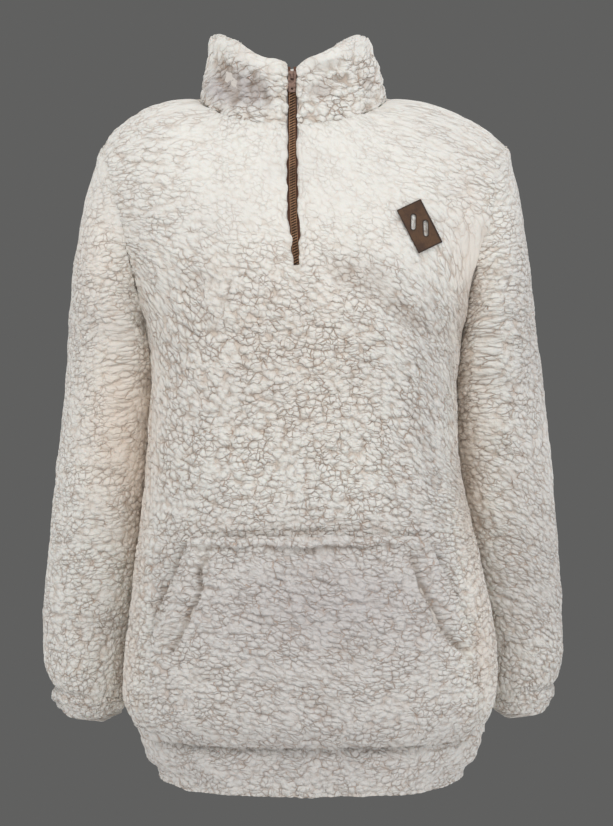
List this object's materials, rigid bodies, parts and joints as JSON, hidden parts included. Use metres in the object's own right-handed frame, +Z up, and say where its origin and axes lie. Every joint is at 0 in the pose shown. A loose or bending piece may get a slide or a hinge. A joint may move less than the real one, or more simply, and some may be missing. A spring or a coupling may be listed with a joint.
{
  "type": "fleece pullover",
  "caption": "Quarter-zip pullover in curly sherpa fleece with a stand-up collar, long cuffed sleeves, a pouch pocket and a hem band, hollow and filled out as worn.",
  "frame": {"origin": "middle of the neck base, level with the neck ends of the shoulder seams", "axes": "+Z up the body, the front faces -Y, +X towards the wearer's left"},
  "size_m": [0.5334, 0.26, 0.7356],
  "materials": {
    "fleece": "curled sherpa pile",
    "zip_tape": "woven",
    "zip_coil": "matte",
    "zip_metal": "dark antique",
    "leather": "smooth"
  },
  "bodies": {
    "pullover": {"front": "fleece", "back": "fleece", "sleeve_right": "fleece", "sleeve_left": "fleece", "cuff_right": "fleece", "cuff_left": "fleece", "hem_band": "fleece", "collar": "fleece", "pocket": "fleece", "leather_patch": "leather", "zip_tape_right": "zip_tape", "zip_tape_left": "zip_tape", "zip_chain": "zip_coil", "zip_slider": "zip_metal"},
    "puller": {"pull_tab": "zip_metal"}
  },
  "joints": [
    {"name": "pull_hinge", "type": "hinge", "parent": "pullover", "child": "puller", "pos_m": [-0.0005, -0.0634, 0.01245], "axis": [-1, 0, 0], "range_deg": [0, 160]}
  ]
}
